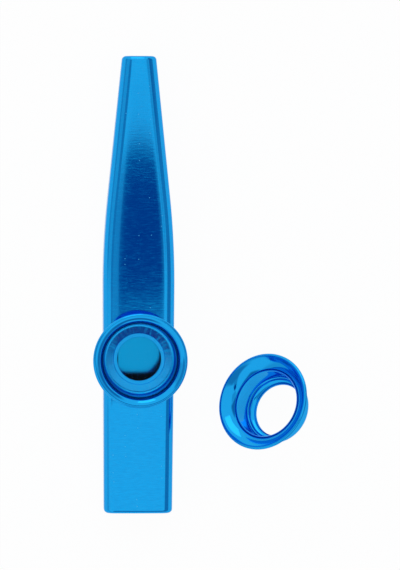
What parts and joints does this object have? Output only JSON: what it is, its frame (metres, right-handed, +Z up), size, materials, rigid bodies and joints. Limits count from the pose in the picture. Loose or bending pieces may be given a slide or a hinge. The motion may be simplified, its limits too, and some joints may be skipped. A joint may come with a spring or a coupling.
{
  "type": "kazoo",
  "caption": "Metal kazoo with a tapered tube, a round turret holding a loose membrane, and its flared cap ring lying beside it; hum into the wide end to sound it.",
  "frame": {"origin": "on the flat belly of the tube, straight below the turret's axis", "axes": "+X across the tube towards the loose cap, +Y along the tube to its narrow end, +Z up along the turret"},
  "size_m": [0.0574, 0.1204, 0.0225],
  "materials": {
    "blue_anodised_aluminium": "polished, dyed blue and anodised",
    "clear_plastic": "clear, smooth"
  },
  "bodies": {
    "kazoo": {"body_tube": "blue_anodised_aluminium", "turret_cup": "blue_anodised_aluminium"},
    "membrane": {"membrane_ring": "clear_plastic", "membrane_film": "clear_plastic"},
    "cap": {"cap": "blue_anodised_aluminium"}
  },
  "joints": [
    {"name": "membrane_lift", "type": "slide", "parent": "kazoo", "child": "membrane", "axis": [0, 0, 1], "range_m": [0, 0.025]},
    {"name": "cap_lift", "type": "slide", "parent": "kazoo", "child": "cap", "axis": [0, 0, 1], "range_m": [0, 0.04]}
  ]
}
